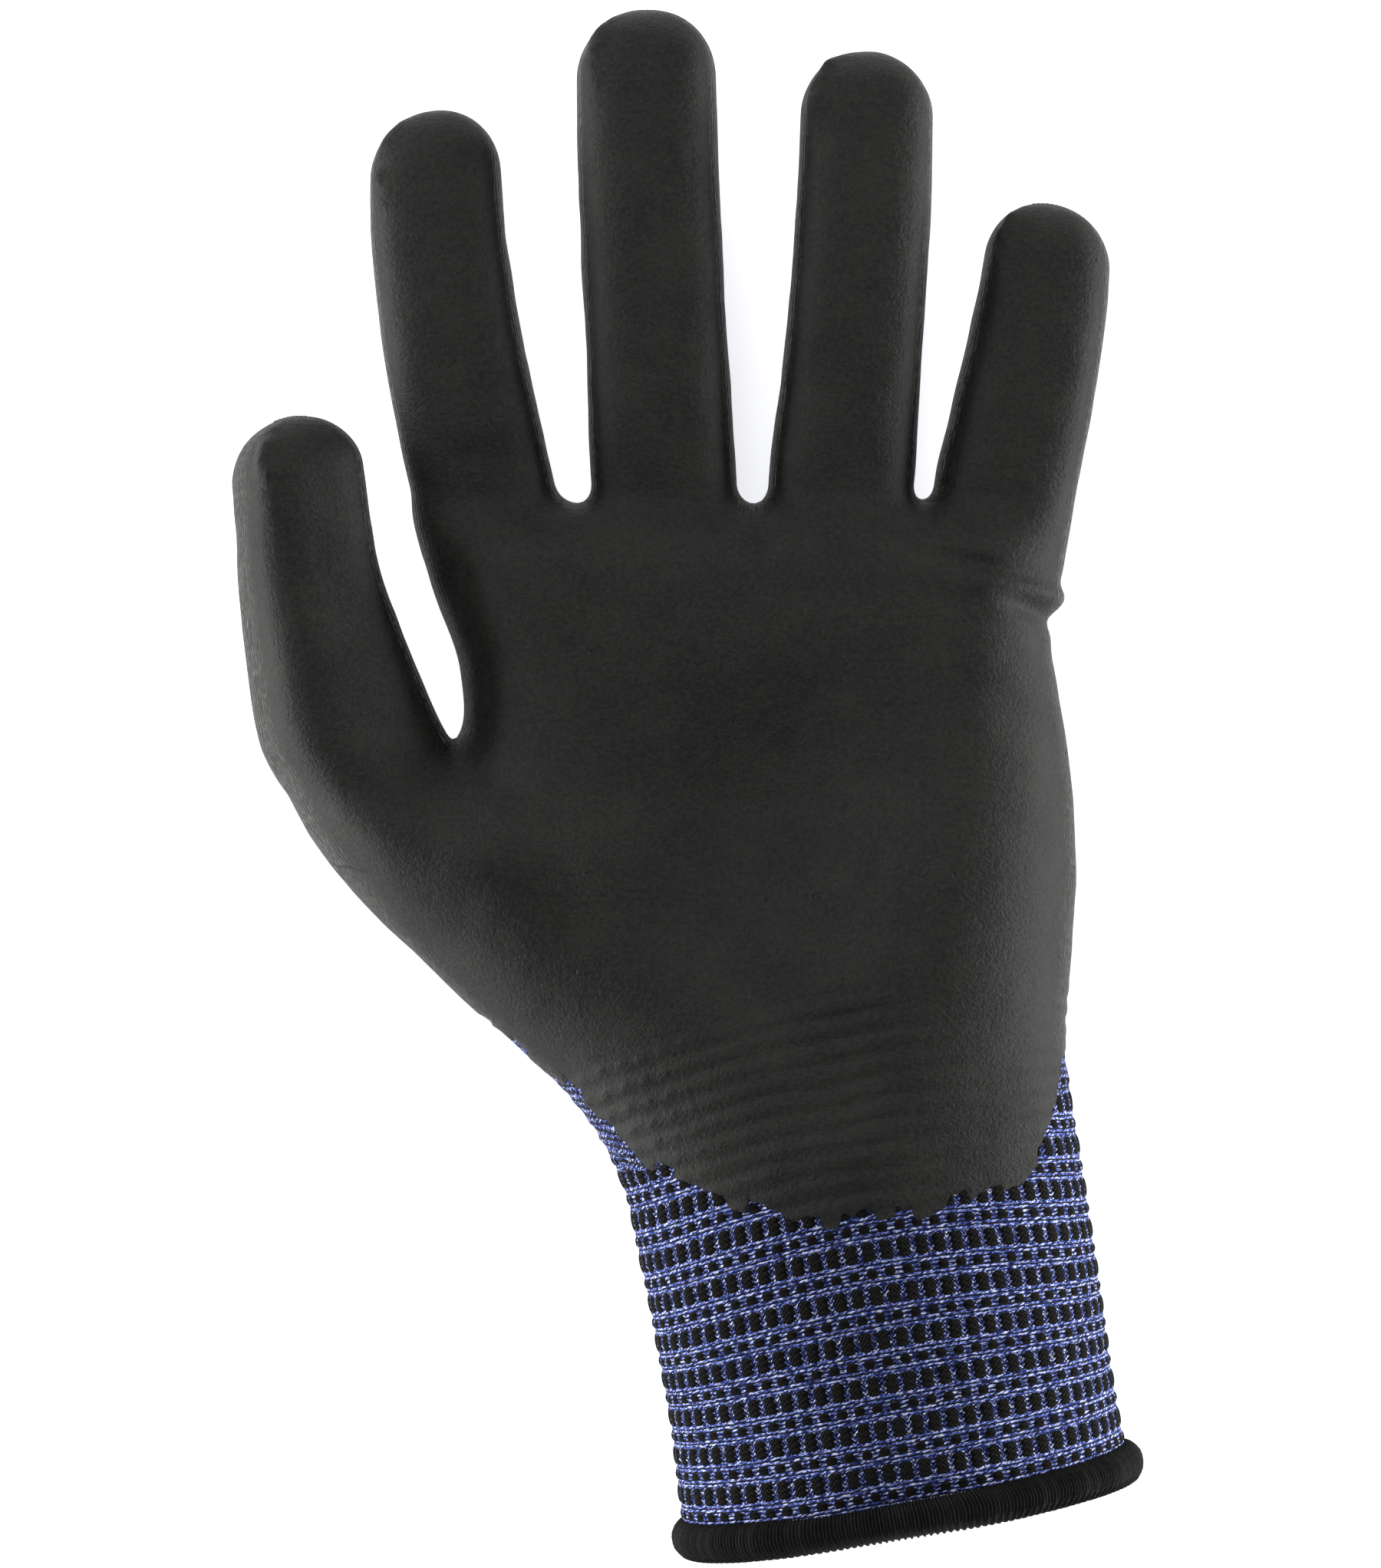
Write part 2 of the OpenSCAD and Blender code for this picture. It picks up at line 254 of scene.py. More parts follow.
def palm_distance(p):
    """About how far points are outside the palm and cuff, negative inside."""
    middle = along_hand(p, PROFILE_MIDDLE)
    top = along_hand(p, PROFILE_TOP)
    rim = along_hand(p, PROFILE_RIM)
    for mx, my, height, reach in MOUNDS:
        top = top + height * np.exp(-((p[:, 0] - mx) ** 2 + (p[:, 1] - my) ** 2) / reach ** 2)
    z = p[:, 2] - middle
    half = np.where(z > 0, top, middle)
    beyond = np.maximum(rim + plan_distance(p), 0.0) / rim
    return (np.sqrt(beyond ** 2 + (z / half) ** 2) - 1.0) * np.minimum(rim, half)


def soft_min(a, b, reach):
    """The smaller of two distances, melted together where they are alike."""
    blend = np.maximum(reach - np.abs(a - b), 0.0) / reach
    return np.minimum(a, b) - blend ** 2 * reach * 0.25


def field(p):
    """Negative inside the hand, zero on its outer surface."""
    out = palm_distance(p)
    fingers = None
    for name in FINGERS:
        d = ALL_STALLS[name].distance(p)
        fingers = d if fingers is None else soft_min(fingers, d, BETWEEN_FINGERS)
    out = soft_min(out, fingers, FINGER_WEB)
    web = THUMB_WEB + THENAR_BLEND * smooth_step((THENAR_LEVEL - p[:, 1]) / THENAR_FADE)
    return soft_min(out, ALL_STALLS["thumb"].distance(p), web)


def in_chunks(function, p, size=250000):
    """A function of many points, some of them at a time to save memory."""
    return np.concatenate([function(p[k:k + size]) for k in range(0, len(p), size)])


def gradient(p, step=0.15):
    out = np.empty_like(p)
    for k in range(3):
        shift = np.zeros(3)
        shift[k] = step
        out[:, k] = (field(p + shift) - field(p - shift)) / (2 * step)
    return out


def sampled_field(low, count, step):
    axes = [low[k] + step * np.arange(count[k]) for k in range(3)]
    points = np.stack(np.meshgrid(*axes, indexing="ij"), -1).reshape(-1, 3)
    return in_chunks(field, points).reshape(count)


BOX_LOW = np.array([-75.0, -135.0, -3.0])
BOX_SIZE = np.array([148.0, 261.0, 50.0])
COARSE_RATIO = 3


def surface_net(step):
    """Quads over the field's zero surface, with one vertex in each grid cell that it crosses.

    The field is sampled coarsely first, and finely only near its surface."""
    low, ratio = BOX_LOW, COARSE_RATIO
    coarse_count = (np.ceil(BOX_SIZE / (step * ratio)) + 1).astype(int)
    fine_count = (coarse_count - 1) * ratio + 1
    values = sampled_field(low, coarse_count, step * ratio)
    for axis in range(3):
        at = np.arange(fine_count[axis]) / ratio
        cell = np.minimum(at.astype(int), coarse_count[axis] - 2)
        part = (at - cell).reshape([-1 if k == axis else 1 for k in range(3)])
        values = np.take(values, cell, axis) * (1 - part) + np.take(values, cell + 1, axis) * part
    near = np.abs(values) < 2.2 * step * ratio
    points = low + step * np.argwhere(near)
    values[near] = in_chunks(field, points)
    inside = values < 0
    n = np.array(inside.shape) - 1
    corners = list(np.ndindex(2, 2, 2))

    def corner(table, c):
        return table[c[0]:c[0] + n[0], c[1]:c[1] + n[1], c[2]:c[2] + n[2]]

    filled = sum(corner(inside, c).astype(int) for c in corners)
    mixed = (filled > 0) & (filled < 8)
    index = np.full(mixed.shape, -1)
    index[mixed] = np.arange(mixed.sum())
    cells = np.argwhere(mixed)
    total = np.zeros((len(cells), 3))
    crossings = np.zeros(len(cells))
    for c in corners:
        for axis in range(3):
            if c[axis]:
                continue
            other = tuple(v + (k == axis) for k, v in enumerate(c))
            a = corner(values, c)[mixed]
            b = corner(values, other)[mixed]
            cross = (a < 0) != (b < 0)
            t = np.where(cross, a / np.where(cross, a - b, 1.0), 0.0)
            spot = cells + np.array(c) + t[:, None] * np.eye(3)[axis]
            total[cross] += spot[cross]
            crossings[cross] += 1
    vertices = low + step * total / crossings[:, None]
    quads = []
    for axis in range(3):
        sides = np.delete(np.eye(3, dtype=int), axis, axis=0)
        a = inside[tuple(slice(1, -1) if k != axis else slice(0, -1) for k in range(3))]
        b = inside[tuple(slice(1, -1) if k != axis else slice(1, None) for k in range(3))]
        edges = np.argwhere(a != b)
        leaves = a[tuple(edges.T)]
        edges = edges + sides.sum(0)
        loop = [edges - sides.sum(0), edges - sides[1], edges, edges - sides[0]]
        quad = np.stack([index[tuple(cell.T)] for cell in loop], 1)
        flip = leaves if axis != 1 else ~leaves
        quads.append(np.where(flip[:, None], quad, quad[:, ::-1]))
    return vertices, np.concatenate(quads)


# ---- patches: a table of vertex columns and its triangles ----

PLACE = slice(0, 3)
NORMAL = slice(3, 6)
GIRTH, LENGTH, COAT, SIDE = 6, 7, 8, 9
# In the hand's own patch, each point's place before the relief moved it
BASE = slice(10, 13)


def compact(table, triangles):
    """A patch without the vertices that no triangle uses."""
    used, index = np.unique(triangles, return_inverse=True)
    return table[used], index.reshape(triangles.shape)


def cut(patch, values):
    """The parts of a patch where the values are positive and where they aren't."""
    table, triangles = patch
    inside = values > 0
    count = inside[triangles].sum(1)
    mixed = triangles[(count > 0) & (count < 3)]
    lone = inside[mixed].sum(1) == 1
    odd = np.where(lone, inside[mixed].argmax(1), (~inside[mixed]).argmax(1))
    rows = np.arange(len(mixed))
    a, b, c = [mixed[rows, (odd + k) % 3] for k in range(3)]
    ends = np.sort(np.concatenate([np.stack([a, b], 1), np.stack([a, c], 1)]), axis=1)
    edges, where = np.unique(ends, axis=0, return_inverse=True)
    where = where.reshape(-1)
    start, end = values[edges[:, 0]], values[edges[:, 1]]
    t = (start / (start - end))[:, None]
    table = np.concatenate([table, table[edges[:, 0]] * (1 - t) + table[edges[:, 1]] * t])
    ab = len(values) + where[:len(mixed)]
    ac = len(values) + where[len(mixed):]
    point = np.stack([a, ab, ac], 1)
    rest = np.concatenate([np.stack([ab, b, c], 1), np.stack([ab, c, ac], 1)])
    lone_twice = np.concatenate([lone, lone])
    kept = np.concatenate([triangles[count == 3], point[lone], rest[~lone_twice]])
    other = np.concatenate([triangles[count == 0], point[~lone], rest[lone_twice]])
    return compact(table, kept), compact(table, other)


def vertex_normals(points, triangles):
    a, b, c = [points[triangles[:, k]] for k in range(3)]
    face = np.cross(b - a, c - a)
    total = np.zeros_like(points)
    for k in range(3):
        for axis in range(3):
            total[:, axis] += np.bincount(triangles[:, k], face[:, axis], len(points))
    return total / np.maximum(np.linalg.norm(total, axis=1), 1e-12)[:, None]


def as_patch(points, triangles, girth=None, length=None):
    """A patch of bare points, with knit coordinates where it has them."""
    zero = np.zeros(len(points))
    knit = [zero if column is None else column for column in (girth, length)]
    return np.column_stack([points, vertex_normals(points, triangles), *knit, zero, zero]), triangles


def moved(patch, offset):
    table = patch[0].copy()
    table[:, PLACE] += table[:, NORMAL] * np.reshape(offset, (-1, 1))
    return table, patch[1]


def thickened(patch, thickness):
    """A patch closed into a thin solid: its skin, an inner one, and a rim along every open edge."""
    table, triangles = patch
    count = len(table)
    inner = table.copy()
    inner[:, PLACE] -= table[:, NORMAL] * thickness
    inner[:, NORMAL] *= -1
    edges = np.concatenate([triangles[:, [0, 1]], triangles[:, [1, 2]], triangles[:, [2, 0]]])
    key = np.sort(edges, axis=1)
    _, first, uses = np.unique(key, axis=0, return_index=True, return_counts=True)
    open_edges = edges[first[uses == 1]]
    a, b = open_edges.T
    rim = np.concatenate([np.stack([b, a, a + count], 1), np.stack([b, a + count, b + count], 1)])
    return np.concatenate([table, inner]), np.concatenate([triangles, triangles[:, ::-1] + count, rim])


def add_object(name, data):
    obj = bpy.data.objects.new(name, data)
    bpy.context.scene.collection.objects.link(obj)
    return obj


def make_piece(name, patch, material, normals=True):
    """A Blender object from a patch in millimetres."""
    table, faces = patch
    mesh = bpy.data.meshes.new(name)
    mesh.vertices.add(len(table))
    mesh.vertices.foreach_set("co", (table[:, PLACE] * MM).ravel())
    mesh.loops.add(faces.size)
    mesh.loops.foreach_set("vertex_index", faces.ravel())
    mesh.polygons.add(len(faces))
    mesh.polygons.foreach_set("loop_start", np.arange(len(faces)) * 3)
    mesh.polygons.foreach_set("use_smooth", np.ones(len(faces), bool))
    mesh.update(calc_edges=True)
    layer = mesh.uv_layers.new(name="knit")
    layer.data.foreach_set("uv", table[faces.ravel()][:, [GIRTH, LENGTH]].ravel())
    side = mesh.attributes.new("side", "FLOAT", "POINT")
    side.data.foreach_set("value", table[:, SIDE])
    mesh.validate()
    if normals:
        mesh.normals_split_custom_set_from_vertices(table[:, NORMAL])
    mesh.materials.append(material)
    return add_object(name, mesh)


# ---- relief: creases, waves and the ridges over the wrist ----

NOISE_SIZE = 32
NOISE = np.random.RandomState(7).uniform(-1.0, 1.0, (NOISE_SIZE, NOISE_SIZE, NOISE_SIZE))


def waves(p, scale, seed=0):
    """Smooth noise between about -1 and 1, with bumps of this size."""
    at = p / scale + 17.31 * (seed + 1)
    cell = np.floor(at).astype(int)
    part = smooth_step(at - cell)
    out = 0.0
    for offset in np.ndindex(2, 2, 2):
        weight = np.prod(np.where(np.array(offset) == 1, part, 1 - part), axis=1)
        out = out + weight * NOISE[tuple(((cell + offset) % NOISE_SIZE).T)]
    return out


# Folds across the palm side: points, depth and width; a negative depth stands out
FOLDS = [
    ([(-14.0, 37.0), (-5.0, 35.2), (3.0, 34.8), (12.0, 37.0)], 0.4, 2.6),
    ([(12.0, 39.0), (22.0, 36.6), (30.0, 36.4), (37.0, 38.6)], 0.4, 2.6),
    ([(31.0, 38.0), (38.0, 35.4), (46.0, 33.4), (53.0, 32.0), (62.0, 30.2)], 1.0, 1.5),
    ([(38.0, 32.8), (48.0, 30.8), (56.0, 29.4), (72.0, 27.6)], -1.2, 2.0),
    ([(46.0, 30.0), (52.0, 27.6), (57.0, 25.2), (66.0, 21.0)], 1.3, 1.7),
    ([(34.0, 18.0), (42.0, 15.4), (50.0, 13.6), (62.0, 13.0)], 0.4, 3.2),
    ([(-10.0, -1.4), (4.0, -3.0), (16.0, -3.4), (38.0, -5.6)], 0.25, 3.4),
    ([(-38.0, 6.0), (-33.0, 4.0), (-27.0, -1.0), (-21.0, -8.0)], 0.6, 3.4),
    ([(-36.0, -2.0), (-29.0, -8.0), (-25.0, -18.0)], 0.3, 4.5),
    ([(-38.6, 50.0), (-32.0, 50.9), (-25.2, 51.4)], 0.22, 2.0),
    ([(-11.6, 63.6), (-3.0, 64.8), (5.0, 66.8)], 0.22, 2.0),
    ([(-18.5, 47.5), (-15.8, 41.0), (-15.0, 33.0)], 0.5, 2.2),
    ([(9.5, 48.0), (11.0, 41.0), (12.0, 34.0)], 0.5, 2.2),
    ([(36.6, 47.5), (36.0, 41.0), (33.0, 35.0)], 0.5, 2.2),
]


def fold_shape(p, path, width):
    """How much of a fold's depth shows at each point; it dies away towards both ends."""
    best = np.full(len(p), np.inf)
    part = np.zeros(len(p))
    for k, (a, b) in enumerate(zip(path, path[1:])):
        d, t = segment_distance(p, a, b)
        part = np.where(d < best, (k + t) / (len(path) - 1), part)
        best = np.minimum(best, d)
    return np.exp(-(best / width) ** 2) * np.sin(math.pi * part)


# Height and size of the skin's uneven waves
SKIN_WAVES = [(0.22, 14.0), (0.10, 6.0), (0.045, 2.6)]
# The linked-off end down each stall's tip: its angle round the stall, width and length
SEAM_ANGLE = 0.7
SEAM_SPREAD = 0.16
SEAM_LENGTH = 17.0
# Ridges of the ribbing under the coating: their spacing, how high above the wrist line they start,
# over what length they grow, and the cells between them on the thumb side
COURSE = 3.35
COURSES_START = 41.0
COURSES_GROW = 9.0
CELL_PITCH = 3.2
CELL_HEIGHT = 0.3
# How far the courses arch at the sides of the cuff, and how far down that ends
COURSE_ARCH = 4.5
ARCH_END = 42.0


def course_level(p):
    """Distance of the knit's curved courses down the cuff from the wrist line."""
    rel = p - WRIST
    t = rel @ CUFF_DOWN
    a = (rel @ CUFF_SIDE) / CUFF_RADII[0]
    fade = 1.0 - smooth_step(t / ARCH_END)
    return t - COURSE_ARCH * np.minimum(a * a, 1.6) * fade


def seam_lumps(p):
    out = 0.0
    for stall in ALL_STALLS.values():
        s, u, w = stall.local(p)
        from_tip = stall.reach[-1] - s
        on_seam = np.exp(-((np.arctan2(w, -u) - SEAM_ANGLE) / SEAM_SPREAD) ** 2) * (u < 0)
        shown = smooth_step(from_tip / 3.0) * smooth_step((SEAM_LENGTH - from_tip) / 8.0)
        out = out + on_seam * shown * (0.55 + 0.5 * waves(p, 2.0, 9))
    return out


def wrist_ridges(p):
    """Ridges across the wrist, broken up into cells towards the thumb."""
    level = course_level(p)
    shown = smooth_step((level + COURSES_START) / COURSES_GROW)
    turns = math.tau * (level + 0.5 * waves(p, 9.0, 4)) / COURSE
    strength = 0.12 + 0.07 * waves(p, 11.0, 5)
    ridges = strength * (np.sin(turns) - 0.3 * np.abs(np.sin(turns)))
    thumb_side = 1.0 - smooth_step((p[:, 0] + 16.0) / 26.0)
    across = np.cos(math.tau * ((p - WRIST) @ CUFF_SIDE) / CELL_PITCH)
    cells = np.maximum(np.sin(turns), 0.0) * np.maximum(across, 0.0)
    return shown * (ridges + thumb_side * CELL_HEIGHT * cells)


def relief(p, normal):
    """How far the skin stands out: waves, folds on the palm side, seams and ridges."""
    palm_side = smooth_step((normal[:, 2] + 0.5) / 0.6)
    out = sum(height * waves(p, size, k) for k, (height, size) in enumerate(SKIN_WAVES))
    for path, depth, width in FOLDS:
        out -= palm_side * depth * fold_shape(p, path, width)
    return out + seam_lumps(p) + wrist_ridges(p)


# ---- where the coating ends ----

# The edge over the wrist in the plan
WRIST_EDGE = [
    (-30.0, -38.0), (-24.5, -43.0), (-16.6, -49.2), (-10.8, -54.4), (-5.7, -58.8), (7.2, -63.4),
    (15.8, -65.8), (25.5, -65.4), (34.4, -64.6), (42.7, -62.4), (50.0, -60.4), (53.0, -57.2),
    (55.5, -52.4), (57.5, -43.0), (62.0, -36.0),
]
# How far below the widest line the coating comes, and how much further over a stall's tip
PALM_WRAP = 6.0
STALL_WRAP = 5.0
TIP_WRAP = 5.0
EDGE_STEP = 2.8


def coated_depth(p):
    """How far a point lies inside the coating's edge, negative where the knit is bare."""
    parts = [(palm_distance(p), p[:, 2] - along_hand(p, PROFILE_MIDDLE) + PALM_WRAP)]
    for stall in ALL_STALLS.values():
        s, u, w = stall.local(p)
        rise = w * stall.pad[2] + u * stall.across[2]
        over_tip = smooth_step((s - stall.reach[-1] + 10.0) / 8.0)
        parts.append((stall.distance(p), rise + STALL_WRAP + TIP_WRAP * over_tip))
    nearest = np.min([d for d, _ in parts], axis=0)
    weights = [np.exp(-(d - nearest) / 1.2) for d, _ in parts]
    depth = sum(weight * value for weight, (_, value) in zip(weights, parts)) / sum(weights)
    depth = depth + 0.7 * waves(p, 5.0, 6) + 0.3 * waves(p, 1.8, 7)
    steps = np.floor(p[:, 0] / EDGE_STEP)
    jag = 0.9 * np.sin(steps * 2.4) + 0.6 * np.sin(steps * 5.1)
    wrist_edge = np.interp(p[:, 0], *np.transpose(WRIST_EDGE)) + jag
    return np.minimum(depth, p[:, 1] - wrist_edge)


# For the knit's coordinates: girth of half the palm's side, the palm's middle, how far from it the
# sides are told apart, and a stall's radius
PALM_SIDE = 16.0
PALM_CENTRE = 10.0
PALM_TURN = 15.0
STALL_GIRTH = 10.0


def knit_map(p):
    """Distance round the hand or stall, and along it, of each point.

    The palm side and the back mirror each other, so that no seam runs down between them."""
    middle = along_hand(p, PROFILE_MIDDLE)
    half = np.where(p[:, 2] > middle, along_hand(p, PROFILE_TOP), middle)
    down_the_side = np.maximum(1.0 - np.abs(p[:, 2] - middle) / half, 0.0)
    side = np.tanh((p[:, 0] - PALM_CENTRE) / PALM_TURN)
    parts = [(palm_distance(p), p[:, 0] + down_the_side * PALM_SIDE * side, p[:, 1])]
    for stall in ALL_STALLS.values():
        s, u, w = stall.local(p)
        girth = stall.base[0] + np.arctan2(u, np.abs(w)) * STALL_GIRTH
        parts.append((stall.distance(p), girth, s + stall.base[1]))
    which = np.argmin([d for d, _, _ in parts], axis=0)
    girth = np.choose(which, [g for _, g, _ in parts])
    length = np.choose(which, [along for _, _, along in parts])
    return girth, length


def hand_surface():
    points, quads = surface_net(GRID_STEP)
    for _ in range(3):
        slope = in_chunks(gradient, points)
        points = points - slope * (in_chunks(field, points) / (slope ** 2).sum(1))[:, None]
    triangles = np.concatenate([quads[:, [0, 1, 2]], quads[:, [0, 2, 3]]])
    normal = vertex_normals(points, triangles)
    coat = in_chunks(coated_depth, points)
    girth, length = knit_map(points)
    side = 1.0 - smooth_step((np.abs(normal[:, 2]) - 0.25) / 0.45)
    placed = points + normal * relief(points, normal)[:, None]
    normal = vertex_normals(placed, triangles)
    return np.column_stack([placed, normal, girth, length, coat, side]), triangles, points


# ---- camera, floor and light ----

# Metres above the floor, focal length, and width of the film
CAMERA_HEIGHT = 0.715
LENS_MM = 102.7
FILM_MM = 36.0
# Half the floor's side, its depth below the glove, and its own light
FLOOR_HALF = 3.0
FLOOR_DEPTH = 0.0004
FLOOR_GLOW = 0.6


def make_camera():
    camera = bpy.data.cameras.new("camera")
    camera.lens = LENS_MM
    camera.sensor_width = FILM_MM
    camera.sensor_height = FILM_MM
    camera.clip_start = 0.01
    obj = add_object("camera", camera)
    obj.location = (0.0, 0.0, CAMERA_HEIGHT)
    bpy.context.scene.camera = obj


def make_floor():
    mesh = bpy.data.meshes.new("floor")
    corners = [(-1, -1), (1, -1), (1, 1), (-1, 1)]
    places = [(x * FLOOR_HALF, y * FLOOR_HALF, -FLOOR_DEPTH) for x, y in corners]
    mesh.from_pydata(places, [], [(0, 1, 2, 3)])
    material = plain_material("floor", (0.93, 0.93, 0.93), 0.9)
    shader = material.node_tree.nodes["Principled BSDF"]
    set_inputs(shader, {"Emission Color": (1.0, 1.0, 1.0, 1.0), "Emission Strength": FLOOR_GLOW})
    mesh.materials.append(material)
    floor = add_object("floor", mesh)


def make_light(name, place, target, size, power):
    light = bpy.data.lights.new(name, "AREA")
    light.shape = "RECTANGLE"
    light.size, light.size_y = size
    light.energy = power
    obj = add_object(name, light)
    obj.location = place
    obj.rotation_euler = (Vector(target) - Vector(place)).to_track_quat("-Z", "Y").to_euler()


# Strength of the surroundings low down and from well up on
HORIZON_LIGHT = 1.15
ZENITH_LIGHT = 0.18


def make_lights():
    """Surroundings that are bright low down, a soft light from above, and one along each side."""
    world = bpy.data.worlds.new("studio")
    world.use_nodes = True
    tree = world.node_tree
    direction = tree.nodes.new("ShaderNodeTexCoord")
    split = tree.nodes.new("ShaderNodeSeparateXYZ")
    height = tree.nodes.new("ShaderNodeMapRange")
    tree.links.new(direction.outputs["Generated"], split.inputs[0])
    tree.links.new(split.outputs["Z"], height.inputs["Value"])
    set_inputs(height, {"From Min": 0.0, "From Max": 0.7, "To Min": HORIZON_LIGHT, "To Max": ZENITH_LIGHT})
    background = tree.nodes["Background"]
    set_inputs(background, {"Color": (1.0, 1.0, 1.0, 1.0)})
    tree.links.new(height.outputs["Result"], background.inputs["Strength"])
    bpy.context.scene.world = world
    bpy.context.scene.view_settings.view_transform = "Standard"
    make_light("key", (-0.2, 0.5, 1.0), (0.0, 0.0, 0.0), (0.8, 0.6), 6.0)
    for name, side in (("left_rim", -1.0), ("right_rim", 1.0)):
        make_light(name, (0.6 * side, -0.05, 0.07), (0.0, 0.0, 0.02), (0.9, 0.14), 7.0)


# ---- cuff: a knitted tube over the same field, its hem and its elastic ----

# The rib's columns round the cuff and their width, and the length of a repeat and of its cells
KNIT_COLUMNS = 66
COLUMN_WIDTH = 2.77
REPEAT = 6.7
TALL_CELL = 3.0
SHORT_CELL = 1.15
BAND = (REPEAT - TALL_CELL - SHORT_CELL) / 2
KNIT_ROWS = 150
COLUMN_POINTS = 8
CUFF_TOP = -18.0
CUFF_THICKNESS = 1.0
# How deep the knit lies in the field's surface, and how much deeper under the coating
KNIT_INSET = 0.55
COATED_INSET = 0.7


def even_angles(count):
    """Angles round the cuff that are evenly spaced along its circumference."""
    fine = np.linspace(0.0, math.tau, 2001)
    x, z = CUFF_RADII[0] * np.cos(fine), CUFF_RADII[1] * np.sin(fine)
    arc = np.concatenate([[0.0], np.cumsum(np.hypot(np.diff(x), np.diff(z)))])
    polar = np.unwrap(np.arctan2(z, x))
    return np.interp(np.arange(count + 1) / count * arc[-1], arc, polar)


def cuff_points(angles, levels):
    """Points of the field's surface on rays from the cuff's middle line, and the rays."""
    a, t = np.meshgrid(angles, levels)
    a, t = a.ravel(), t.ravel()
    ray = np.cos(a)[:, None] * CUFF_SIDE + np.sin(a)[:, None] * np.array([0.0, 0.0, 1.0])
    centre = WRIST + t[:, None] * CUFF_DOWN - np.array([0.0, 0.0, 0.3])
    near, far = np.full(len(a), 8.0), np.full(len(a), 60.0)
    for _ in range(18):
        middle = 0.5 * (near + far)
        outside = field(centre + middle[:, None] * ray) > 0
        near, far = np.where(outside, near, middle), np.where(outside, middle, far)
    return centre + near[:, None] * ray, ray


def grid_triangles(rows, columns, close=False):
    """Triangles of a grid of vertices, whose rows may be closed."""
    i, j = np.meshgrid(np.arange(rows - 1), np.arange(columns if close else columns - 1), indexing="ij")
    i, j = i.ravel(), j.ravel()
    ahead = (j + 1) % columns
    a, b = i * columns + j, i * columns + ahead
    c, d = (i + 1) * columns + ahead, (i + 1) * columns + j
    return np.concatenate([np.stack([a, b, c], 1), np.stack([a, c, d], 1)])


def ring_triangles(turns, around):
    return grid_triangles(turns + 1, around, close=True) % (turns * around)


def pillow(x, y):
    """A round cushion: 1 in the middle, 0 at its edge."""
    return np.sqrt(np.maximum(1.0 - x * x - y * y, 0.0))


def knit_height(column, level):
    """Relief of the ribbed knit: cells of black yarn between bands and chevrons of blue yarn."""
    across = column - np.floor(column) - 0.5
    down = level - np.floor(level / REPEAT) * REPEAT
    tall = down - TALL_CELL / 2
    short = down - TALL_CELL - BAND - SHORT_CELL / 2
    scallop = 1.0 + 0.12 * np.cos(math.tau * tall)
    height = 0.36 * pillow(across / (0.40 * scallop), tall / (0.5 * TALL_CELL + 0.1))
    height = np.maximum(height, 0.32 * pillow(across / 0.38, short / (0.5 * SHORT_CELL + 0.15)))
    strand = np.cos(math.tau * (down / 0.7 + 0.35 * np.abs(across)))
    return height + 0.06 * strand * (height < 0.15)


def cuff_patch(first, last):
    angles = even_angles(KNIT_COLUMNS * COLUMN_POINTS)[first * COLUMN_POINTS:last * COLUMN_POINTS + 1]
    levels = np.linspace(CUFF_TOP, CUFF_LENGTH - HEM_LENGTH * 0.7, KNIT_ROWS)
    points, _ = cuff_points(angles, levels)
    triangles = grid_triangles(KNIT_ROWS, len(angles))
    normal = vertex_normals(points, triangles)
    column = np.tile(np.linspace(first, last, len(angles)), KNIT_ROWS)
    level = course_level(points)
    height = knit_height(column, level) + 0.12 * waves(points, 9.0, 8)
    hidden = smooth_step((coated_depth(points) - 0.5) / 2.0)
    placed = points + normal * (height - KNIT_INSET - COATED_INSET * hidden)[:, None]
    return as_patch(placed, triangles, column, level / REPEAT)


def make_cuff(material):
    half = KNIT_COLUMNS // 2
    parts = (("cuff_palm_side", 0, half), ("cuff_back", half, KNIT_COLUMNS))
    return [
        make_piece(name, thickened(cuff_patch(first, last), CUFF_THICKNESS), material)
        for name, first, last in parts
    ]


# The overlock's threads, the mesh points for each and round the roll, and the threads' relief
HEM_THREADS = 340
HEM_SAMPLES = 5
HEM_TURNS = 22
THREAD_HEIGHT = 0.17
# The chain of loops outside the roll, towards its lower edge
LOOP_HEIGHT = 0.3
LOOP_TURN = 0.45
LOOP_SPREAD = 0.4
# How far the roll stands out and in, and how deep its middle line lies
HEM_OUTER = 2.5
HEM_INNER = 1.3
HEM_INSET = 1.0
HEM_GIRTH = 200.0
ABOVE_FLOOR = 0.05


